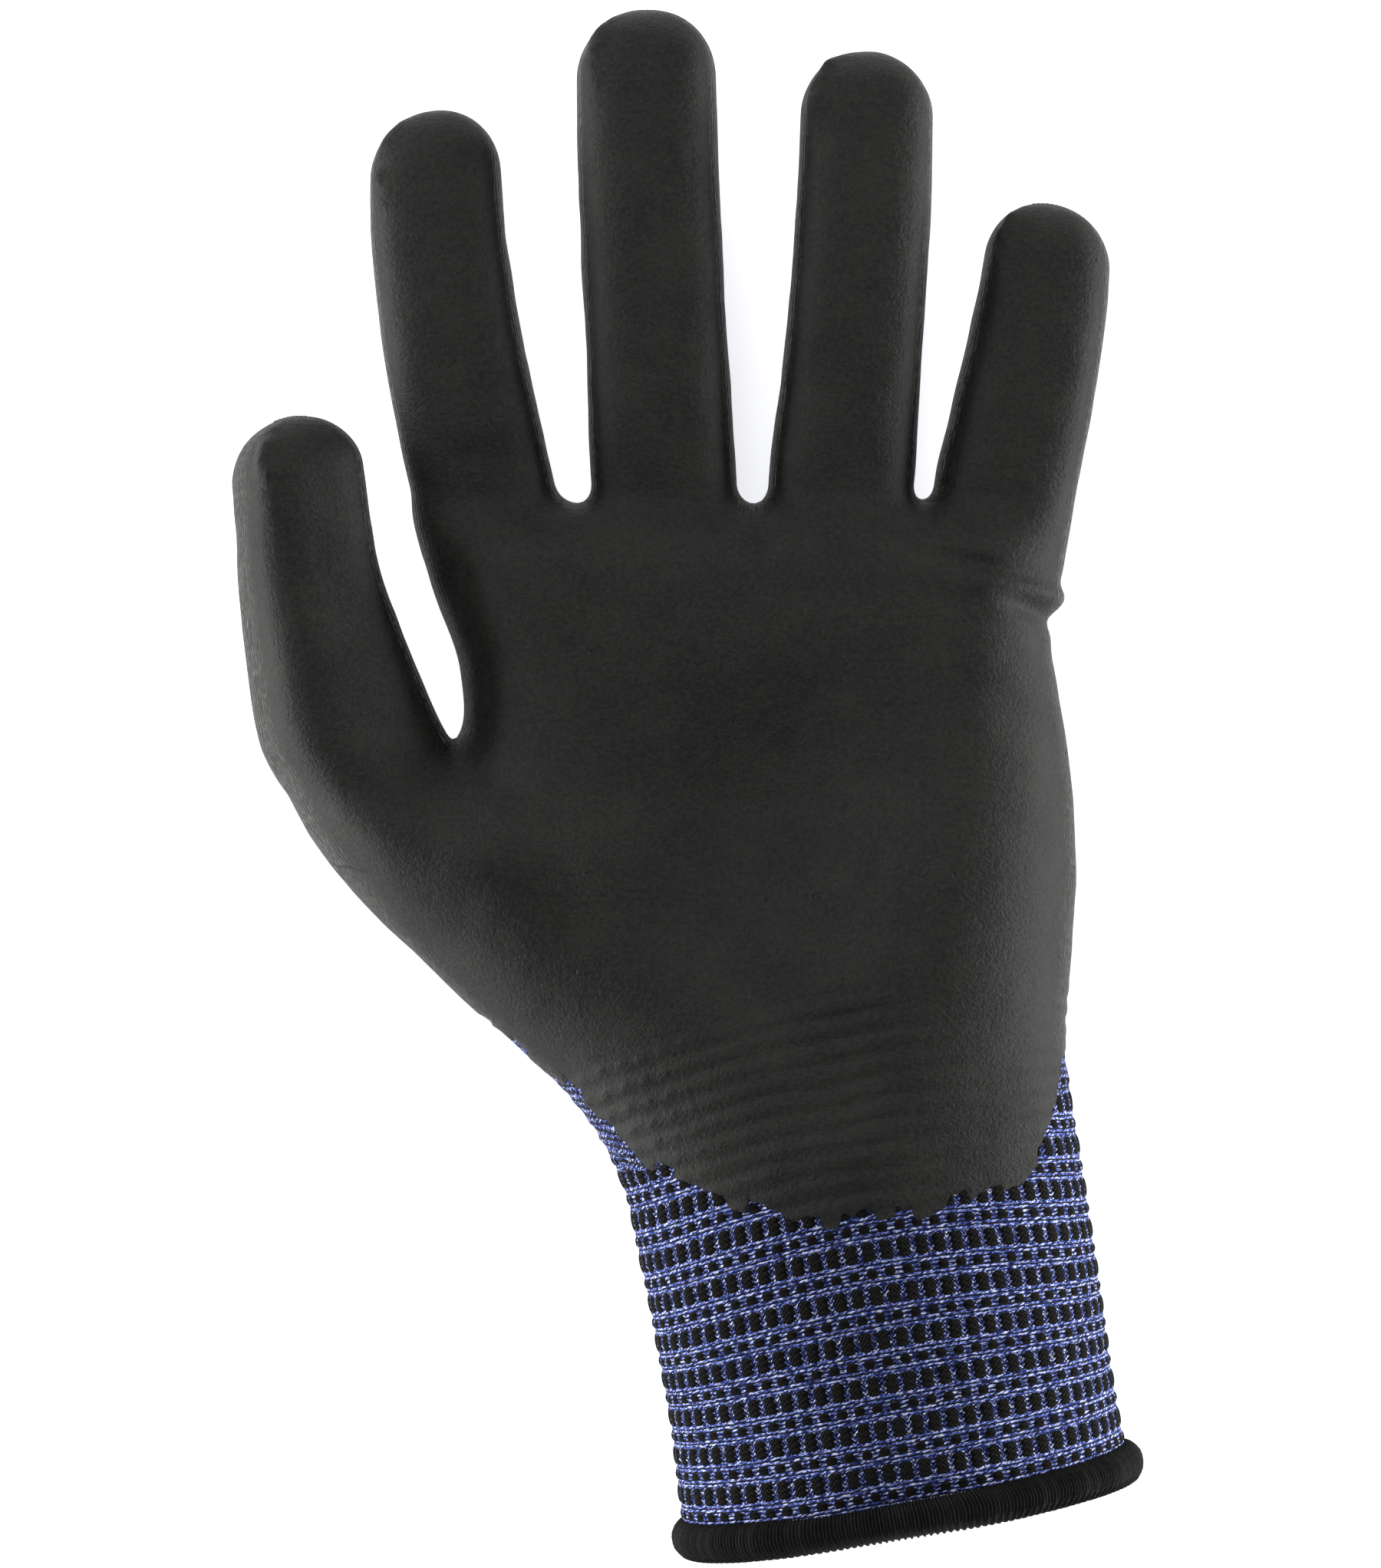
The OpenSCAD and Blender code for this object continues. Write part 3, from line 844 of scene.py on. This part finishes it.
def make_hem(material):
    """The overlocked roll around the mouth: a ring whose skin is wound with fine threads."""
    around = HEM_THREADS * HEM_SAMPLES
    rim, ray = cuff_points(even_angles(around)[:-1], [CUFF_LENGTH - HEM_LENGTH / 2])
    rim = rim - HEM_INSET * ray
    turn = np.linspace(0.0, math.tau, HEM_TURNS, endpoint=False)
    grid_turn, grid_angle = np.meshgrid(turn, np.arange(around) / around, indexing="ij")
    lean = 0.9 * np.sin(grid_turn)
    wound = np.cos(math.tau * (HEM_THREADS * grid_angle + lean))
    lower = np.exp(-((grid_turn - LOOP_TURN) / LOOP_SPREAD) ** 2)
    chain = np.cos(math.pi * (HEM_THREADS * grid_angle + np.sign(grid_turn - LOOP_TURN)))
    uneven = 1.0 + 0.5 * np.sin(math.tau * 37 * grid_angle) * np.sin(math.tau * 61 * grid_angle + 1.0)
    swell = THREAD_HEIGHT * wound * uneven * (1 - lower) + LOOP_HEIGHT * chain * lower
    sway = 0.25 * np.sin(math.tau * 5 * grid_angle + 0.6)
    down = np.cos(grid_turn) * (HEM_LENGTH / 2 + swell)
    bulge = np.where(grid_turn < math.pi, HEM_OUTER, HEM_INNER)
    out = np.sin(grid_turn) * (bulge + swell) + sway
    points = rim[None] + down[..., None] * CUFF_DOWN + out[..., None] * ray[None]
    points = points.reshape(-1, 3)
    points[:, 2] = np.maximum(points[:, 2], ABOVE_FLOOR)
    triangles = ring_triangles(HEM_TURNS, around)
    patch = as_patch(points, triangles, grid_angle.ravel() * HEM_GIRTH, grid_turn.ravel())
    piece = make_piece("hem_roll", patch, material)
    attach(piece, "cuff")
    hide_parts("cuff_hem")


# Where the elastic's hoops lie below the wrist line, how deep, and half their thickness
ELASTIC_LEVELS = np.linspace(16.0, 36.0, 6)
ELASTIC_INSET = 2.1
ELASTIC_RADIUS = 0.42


def make_elastic(material):
    """Covered elastic yarns laid into the inside of the ribbing."""
    around, turns = 160, 8
    hoops, faces = [], []
    for level in ELASTIC_LEVELS:
        rim, ray = cuff_points(even_angles(around)[:-1], [level])
        rim = rim - ELASTIC_INSET * ray
        hoop = np.concatenate([
            rim + ELASTIC_RADIUS * (math.cos(turn) * CUFF_DOWN + math.sin(turn) * ray)
            for turn in np.linspace(0.0, math.tau, turns, endpoint=False)
        ])
        faces.append(ring_triangles(turns, around) + len(hoops) * len(hoop))
        hoops.append(hoop)
    patch = as_patch(np.concatenate(hoops), np.concatenate(faces))
    piece = make_piece("elastic_yarns", patch, material)
    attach(piece, "cuff")
    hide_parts("cuff_elastic")


# The closing loops: how many, how far apart, how deep, and half their size across, along and through
CLOSING_LOOPS = 9
LOOP_PITCH = 0.66
LOOP_SINK = 0.3
LOOP_SIZE = (0.5, 0.28, 0.34)
LOOP_SKEW = 0.5


def make_closing_stitch(name, material):
    """A short row of linked loops over the end of a stall."""
    stall = ALL_STALLS[name]
    rings, sides = 6, 8
    end = stall.base + stall.along * (stall.reach[-1] + SKIN)
    points, faces = [], []
    for k in range(CLOSING_LOOPS):
        u = (k - (CLOSING_LOOPS - 1) / 2) * LOOP_PITCH
        centre = end + stall.across * (stall.off_across[-1] + u) + stall.pad * stall.off_pad[-1]
        centre = centre - stall.along * (LOOP_SINK + 0.5 * u * u / (stall.widths[-1] + SKIN))
        for tilt in np.linspace(0.0, math.pi, rings + 1):
            for turn in np.linspace(0.0, math.tau, sides, endpoint=False):
                across = LOOP_SIZE[0] * math.sin(tilt) * math.cos(turn)
                along = LOOP_SIZE[1] * math.cos(tilt)
                through = LOOP_SIZE[2] * math.sin(tilt) * math.sin(turn) + LOOP_SKEW * across
                points.append(centre + stall.across * across + stall.along * along + stall.pad * through)
        faces.append(grid_triangles(rings + 1, sides, close=True) + k * (rings + 1) * sides)
    patch = as_patch(np.array(points), np.concatenate(faces)[:, ::-1])
    piece = make_piece(name + "_closing_loops", patch, material, normals=False)
    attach(piece, name + "_tip")
    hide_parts(name + "_closing_stitch")


# ---- materials ----

def set_inputs(node, values):
    for name, value in values.items():
        node.inputs[name].default_value = value


def plain_material(name, color, roughness, specular=0.25):
    material = bpy.data.materials.new(name)
    material.use_nodes = True
    shader = material.node_tree.nodes["Principled BSDF"]
    set_inputs(shader, {"Base Color": (*color, 1.0), "Roughness": roughness, "Specular IOR Level": specular})
    return material


def feed(tree, value, socket):
    """Give a socket a scalar, another node's output, or a plain value."""
    if isinstance(value, Scalar):
        value = value.socket
    if isinstance(value, bpy.types.NodeSocket):
        tree.links.new(value, socket)
    else:
        socket.default_value = value


class Scalar:
    """A number that changes over a surface, built up from math nodes."""

    def __init__(self, tree, socket):
        self.tree = tree
        self.socket = socket

    def using(self, operation, *others):
        node = self.tree.nodes.new("ShaderNodeMath")
        node.operation = operation
        for k, value in enumerate((self, *others)):
            feed(self.tree, value, node.inputs[k])
        return Scalar(self.tree, node.outputs[0])

    def __add__(self, other):
        return self.using("ADD", other)

    def __sub__(self, other):
        return self.using("SUBTRACT", other)

    def __mul__(self, other):
        return self.using("MULTIPLY", other)

    def __truediv__(self, other):
        return self.using("DIVIDE", other)

    def __abs__(self):
        return self.using("ABSOLUTE")

    def power(self, exponent):
        return self.using("POWER", exponent)

    def fraction(self):
        return self.using("FRACT")

    def wave(self):
        """Between 0 and 1, with a period of 1."""
        return (self * math.tau).using("COSINE") * 0.5 + 0.5

    def step(self, low, high):
        """0 at low and before it, 1 at high and beyond it, and smooth between them."""
        node = self.tree.nodes.new("ShaderNodeMapRange")
        node.interpolation_type = "SMOOTHSTEP"
        self.tree.links.new(self.socket, node.inputs["Value"])
        rising = float(low < high)
        set_inputs(node, {"From Min": min(low, high), "From Max": max(low, high)})
        set_inputs(node, {"To Min": 1.0 - rising, "To Max": rising})
        return Scalar(self.tree, node.outputs["Result"])


class Fabric:
    """A material with the knit's own coordinates: across its columns and along its courses."""

    def __init__(self, name, roughness, specular):
        self.material = plain_material(name, (0.02, 0.02, 0.02), roughness, specular)
        self.tree = self.material.node_tree
        self.shader = self.tree.nodes["Principled BSDF"]
        knit_uv = self.tree.nodes.new("ShaderNodeUVMap")
        knit_uv.uv_map = "knit"
        split = self.tree.nodes.new("ShaderNodeSeparateXYZ")
        self.tree.links.new(knit_uv.outputs["UV"], split.inputs[0])
        self.across = Scalar(self.tree, split.outputs["X"])
        self.down = Scalar(self.tree, split.outputs["Y"])

    def vector(self, x, y, z=0.0):
        join = self.tree.nodes.new("ShaderNodeCombineXYZ")
        for k, value in enumerate((x, y, z)):
            feed(self.tree, value, join.inputs[k])
        return join.outputs[0]

    def noise(self, vector, scale, detail=2.0, roughness=0.5):
        node = self.tree.nodes.new("ShaderNodeTexNoise")
        set_inputs(node, {"Scale": scale, "Detail": detail, "Roughness": roughness})
        self.tree.links.new(vector, node.inputs["Vector"])
        return Scalar(self.tree, node.outputs["Fac"])

    def place(self):
        """Where a point lies on the object, in metres."""
        return self.tree.nodes.new("ShaderNodeTexCoord").outputs["Object"]

    def side(self):
        """1 where the skin stands upright, 0 where it faces up or down."""
        node = self.tree.nodes.new("ShaderNodeAttribute")
        node.attribute_name = "side"
        return Scalar(self.tree, node.outputs["Fac"])

    def ramp(self, value, stops):
        node = self.tree.nodes.new("ShaderNodeValToRGB")
        elements = node.color_ramp.elements
        while len(elements) < len(stops):
            elements.new(0.5)
        for element, (position, color) in zip(elements, stops):
            element.position = position
            element.color = (*color, 1.0)
        self.tree.links.new(value.socket, node.inputs["Fac"])
        return node.outputs["Color"]

    def mixed(self, amount, a, b):
        node = self.tree.nodes.new("ShaderNodeMix")
        node.data_type = "RGBA"
        feed(self.tree, amount, node.inputs[0])
        for socket, value in ((node.inputs[6], a), (node.inputs[7], b)):
            feed(self.tree, (*value, 1.0) if isinstance(value, tuple) else value, socket)
        return node.outputs[2]

    def color(self, socket):
        self.tree.links.new(socket, self.shader.inputs["Base Color"])

    def bump(self, height, depth):
        """Relief of this depth in metres where the height goes from 0 to 1."""
        node = self.tree.nodes.new("ShaderNodeBump")
        node.inputs["Distance"].default_value = depth
        self.tree.links.new(height.socket, node.inputs["Height"])
        self.tree.links.new(node.outputs["Normal"], self.shader.inputs["Normal"])


NAVY = (0.006, 0.009, 0.050)
BLUE = (0.040, 0.065, 0.29)
PALE_BLUE = (0.13, 0.18, 0.50)
LILAC = (0.60, 0.63, 0.80)
BLACK_YARN = (0.0045, 0.0045, 0.0045)


def heather(fabric, x, y):
    """Blue melange yarn: twisted dark and bright fibres with pale flecks. x and y in millimetres."""
    lean = 0.34
    along = x + y * lean
    over = y - x * lean
    fibres = fabric.noise(fabric.vector(along * 1.15, over * 3.1), 1.0, 2.0, 0.55)
    tone = fabric.noise(fabric.vector(along * 0.55, over * 1.1, 4.0), 1.0, 1.0)
    value = fibres + (tone - 0.5) * 0.3
    return fabric.ramp(value, [(0.39, NAVY), (0.475, BLUE), (0.545, PALE_BLUE), (0.62, LILAC)])


DARK_FOAM = (0.0045, 0.0047, 0.0041)
LIGHT_FOAM = (0.0150, 0.0154, 0.0137)
# Light grey foam painted on the upright sides: painted rim light, with the knit's ribs showing through
RIM_LIT_RIBBED_FOAM = (0.075, 0.077, 0.070)
THIN_RIB = 0.82


def coating_material():
    """Matt charcoal foam: fine grain, pin holes, and faint ribs where it is thin over the sides, which are
    painted lighter as a painted rim light.
    """
    fabric = Fabric("foam_coating", 0.55, 0.18)
    set_inputs(fabric.shader, {"Sheen Weight": 0.06, "Sheen Roughness": 0.22})
    spot = fabric.place()
    grain = fabric.noise(spot, 2600.0, 3.0, 0.6)
    blotch = fabric.noise(spot, 90.0, 3.0)
    cells = fabric.tree.nodes.new("ShaderNodeTexVoronoi")
    cells.inputs["Scale"].default_value = 130.0
    fabric.tree.links.new(spot, cells.inputs["Vector"])
    pores = Scalar(fabric.tree, cells.outputs["Distance"]).step(0.055, 0.02)
    side = fabric.side()
    ribs = (fabric.across / THIN_RIB).wave()
    fuzz = fabric.noise(fabric.vector(fabric.across * 2.4, fabric.down * 0.8), 1.0, 2.0)
    speck = fabric.noise(spot, 1500.0, 2.0, 0.6)
    tone = blotch * 0.3 + grain * 0.2 + speck * 0.5
    skin = fabric.ramp(tone, [(0.40, DARK_FOAM), (0.60, LIGHT_FOAM)])
    # The upright sides are painted lighter: painted rim light, broken up by the ribs of the knit under the
    # thin foam
    rim_light_and_ribs = side * (ribs * 0.6 + (fuzz - 0.5) * 2.4 + (speck - 0.5) * 1.6)
    skin = fabric.mixed(rim_light_and_ribs.step(0.05, 0.8), skin, RIM_LIT_RIBBED_FOAM)
    fabric.color(fabric.mixed(pores * 0.6, skin, BLACK_YARN))
    height = grain * 0.6 + speck * 0.6 + side * (ribs * 0.9 + fuzz * 1.6) - pores * 0.8
    fabric.bump(height, 0.00022)
    return fabric.material


# Width of the jersey's columns and length of its courses
JERSEY_COLUMN = 1.5
JERSEY_COURSE = 1.15


def liner_material():
    """Fine jersey knit: columns of small V stitches in the blue melange and black."""
    fabric = Fabric("liner_knit", 0.85, 0.15)
    column = fabric.across / JERSEY_COLUMN
    lean = abs(column.fraction() - 0.5)
    course = fabric.down / JERSEY_COURSE + lean * 0.9
    stitch = course.wave() * (lean * 2.0).step(0.0, 0.35) * (lean * 2.0).step(1.0, 0.8)
    yarn = heather(fabric, fabric.across, fabric.down)
    fabric.color(fabric.mixed(stitch.step(0.12, 0.5), BLACK_YARN, yarn))
    fabric.bump(stitch, 0.00025)
    return fabric.material


def cuff_material():
    """Rib knit: tall and short cells of black yarn between bands and chevrons of blue melange."""
    fabric = Fabric("cuff_knit", 0.85, 0.12)
    x = fabric.across * COLUMN_WIDTH
    y = fabric.down * REPEAT
    off = abs(fabric.across.fraction() - 0.5)
    level = fabric.down.fraction() * REPEAT
    tall = level - TALL_CELL / 2
    short = level - (TALL_CELL + BAND + SHORT_CELL / 2)
    jitter = fabric.noise(fabric.vector(x, y), 1.1, 2.0) - 0.5
    scallop = tall.wave() * 0.10 + 0.32 + jitter * 0.2
    tall_cell = (off / scallop).power(4.0) + abs(tall / (TALL_CELL * 0.5)).power(4.0)
    short_cell = (off / (jitter * 0.16 + 0.32)).power(3.0) + abs(short / (SHORT_CELL * 0.56)).power(3.0)
    black = tall_cell.step(1.15, 0.75).using("MAXIMUM", short_cell.step(1.2, 0.7))
    beside = abs(tall).step(TALL_CELL * 0.56, TALL_CELL * 0.46)
    chevron = ((level - off * 3.4) / 0.75).wave()
    # In the bands the dark lines between the yarn rows are painted shade between the rows
    rows = (level / 0.64 + jitter * 0.5).wave()
    thread = chevron * beside + rows * (beside * -1.0 + 1.0)
    # Where the thread mask is low the yarn is painted near black: between the chevron strands, and as
    # painted shade between the rows of the bands
    yarn = fabric.mixed(thread.step(0.08, 0.62), BLACK_YARN, heather(fabric, x, y))
    # The black cells are painted darker and lighter along each scalloped rib: painted shade and painted
    # highlight on the ribs, whose wave also drives their bump
    ribbed = (tall + off * 0.5).wave()
    dark = fabric.ramp(ribbed, [(0.0, (0.0008, 0.0008, 0.0008)), (1.0, (0.0046, 0.0046, 0.0042))])
    fabric.color(fabric.mixed(black, yarn, dark))
    fuzz = fabric.noise(fabric.vector(x * 1.6, y * 5.0), 1.0, 2.0)
    fabric.bump(thread * 0.6 + fuzz * 0.5 + black * ribbed * 0.8, 0.00022)
    return fabric.material


def thread_material():
    fabric = Fabric("black_thread", 0.7, 0.12)
    fuzz = fabric.noise(fabric.place(), 3000.0, 2.0)
    fabric.color(fabric.ramp(fuzz, [(0.3, (0.0020, 0.0020, 0.0020)), (0.75, (0.0090, 0.0090, 0.0085))]))
    fabric.bump(fuzz, 0.00008)
    return fabric.material


# ---- assembly ----

def nearest_stall(p, name):
    """Positive where this stall is nearer than every other."""
    own = ALL_STALLS[name].distance(p)
    return np.min([s.distance(p) for other, s in ALL_STALLS.items() if other != name], axis=0) - own


COAT_THICKNESS = 0.6
KNIT_THICKNESS = 0.9
# How far the coating sinks at its edge, and over what width; the bare knit's depth, and what the
# coating adds to it
COAT_SINK = 0.45
COAT_EDGE = 1.4
BARE_DEPTH = 0.5
UNDER_COAT = 0.45


def finish_skins(patch):
    """The coating and the knit of one region, each closed into a thin solid."""
    coat = patch[0][:, COAT]
    over, _ = cut(patch, coat)
    edge = smooth_step(over[0][:, COAT] / COAT_EDGE)
    over = thickened(moved(over, -COAT_SINK * (1.0 - edge)), COAT_THICKNESS)
    under = moved(patch, -BARE_DEPTH - UNDER_COAT * smooth_step(coat / 2.0))
    return over, thickened(under, KNIT_THICKNESS)


# Where the stalls bend: from and to which distance along them from each hinge line
BENDS = {name: [(-1.5, 9.0), (-7.0, 7.0), (-6.0, 6.0)] for name in FINGERS[:3]}
BENDS["little"] = [(-1.5, 8.5), (-6.0, 6.0), (-5.5, 5.5)]
BENDS["thumb"] = [(-3.0, 12.0), (-8.0, 8.0)]
# The same for the wrist both ways, how far down its coating can reach, and how far cuts overlap bends
WRIST_BEND = 15.0
WRIST_SKIN_END = 20.0
CUT_SPARE = 0.6


def lengths_of(name):
    return ["base", "tip"] if name == "thumb" else ["base", "middle", "tip"]


def bend_between(piece, a, b, middle, direction, before, after):
    """Bakes the piece's placement into its mesh; where it would turn from one body to the next is worked out
    but not used.
    """
    start = (middle + direction * before) * MM
    end = (middle + direction * after) * MM
    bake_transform(piece)


def split_hand(hand):
    """The hand's surface as one patch for each length of a stall, one palm, and one wrist."""
    wrist, rest = cut(hand, (hand[0][:, BASE] - WRIST) @ CUFF_DOWN + WRIST_BEND + CUT_SPARE)
    wrist, _ = cut(wrist, WRIST_SKIN_END - (wrist[0][:, BASE] - WRIST) @ CUFF_DOWN)
    regions = {}
    for name, stall in ALL_STALLS.items():
        places = rest[0][:, BASE]
        past_start = stall.local(places)[0] - BENDS[name][0][0] + CUT_SPARE
        inside = np.minimum(past_start, nearest_stall(places, name))
        if name == "thumb":
            inside = np.minimum(inside, palm_distance(places) - stall.distance(places) + 2.0)
        part, rest = cut(rest, inside)
        lengths = lengths_of(name)
        for k in range(len(lengths) - 1):
            end_of_bend = stall.reach[k] + BENDS[name][k][1]
            start_of_next = stall.reach[k + 1] + BENDS[name][k + 1][0]
            limit = 0.5 * (end_of_bend + start_of_next)
            part, regions[(name, k)] = cut(part, stall.local(part[0][:, BASE])[0] - limit)
        regions[(name, len(lengths) - 1)] = part
    return regions, rest, wrist


def make_pieces():
    table, triangles, points = hand_surface()
    coating = coating_material()
    knit = liner_material()
    cuff_knit = cuff_material()
    thread = thread_material()
    regions, palm, wrist = split_hand((np.column_stack([table, points]), triangles))
    for (name, k), patch in regions.items():
        stall = ALL_STALLS[name]
        lengths = lengths_of(name)
        node = f"{name}_{lengths[k]}"
        before = "hand" if k == 0 else f"{name}_{lengths[k - 1]}"
        for suffix, skin, material in zip(("coating", "liner"), finish_skins(patch), (coating, knit)):
            piece = make_piece(f"{node}_{suffix}_skin", skin, material)
            middle = stall.base + stall.along * stall.reach[k]
            bend_between(piece, before, node, middle, stall.along, *BENDS[name][k])
            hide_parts(f"{node}_{suffix}")
    over, under = finish_skins(palm)
    palm_coat = make_piece("palm_coating_skin", over, coating)
    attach(palm_coat, "hand")
    palm_knit = make_piece("palm_liner_skin", under, knit)
    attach(palm_knit, "hand")
    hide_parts("palm_liner")
    wrist_coat = make_piece("wrist_coating_skin", finish_skins(wrist)[0], coating)
    cuff_parts = make_cuff(cuff_knit)
    for piece in [wrist_coat, *cuff_parts]:
        bend_between(piece, "hand", "cuff", WRIST, CUFF_DOWN, -WRIST_BEND, WRIST_BEND)
    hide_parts("palm_coating")
    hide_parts("cuff_knit")
    make_hem(thread)
    make_elastic(thread)
    for name in STALLS:
        make_closing_stitch(name, thread)


make_camera()
make_floor()
make_lights()
make_pieces()
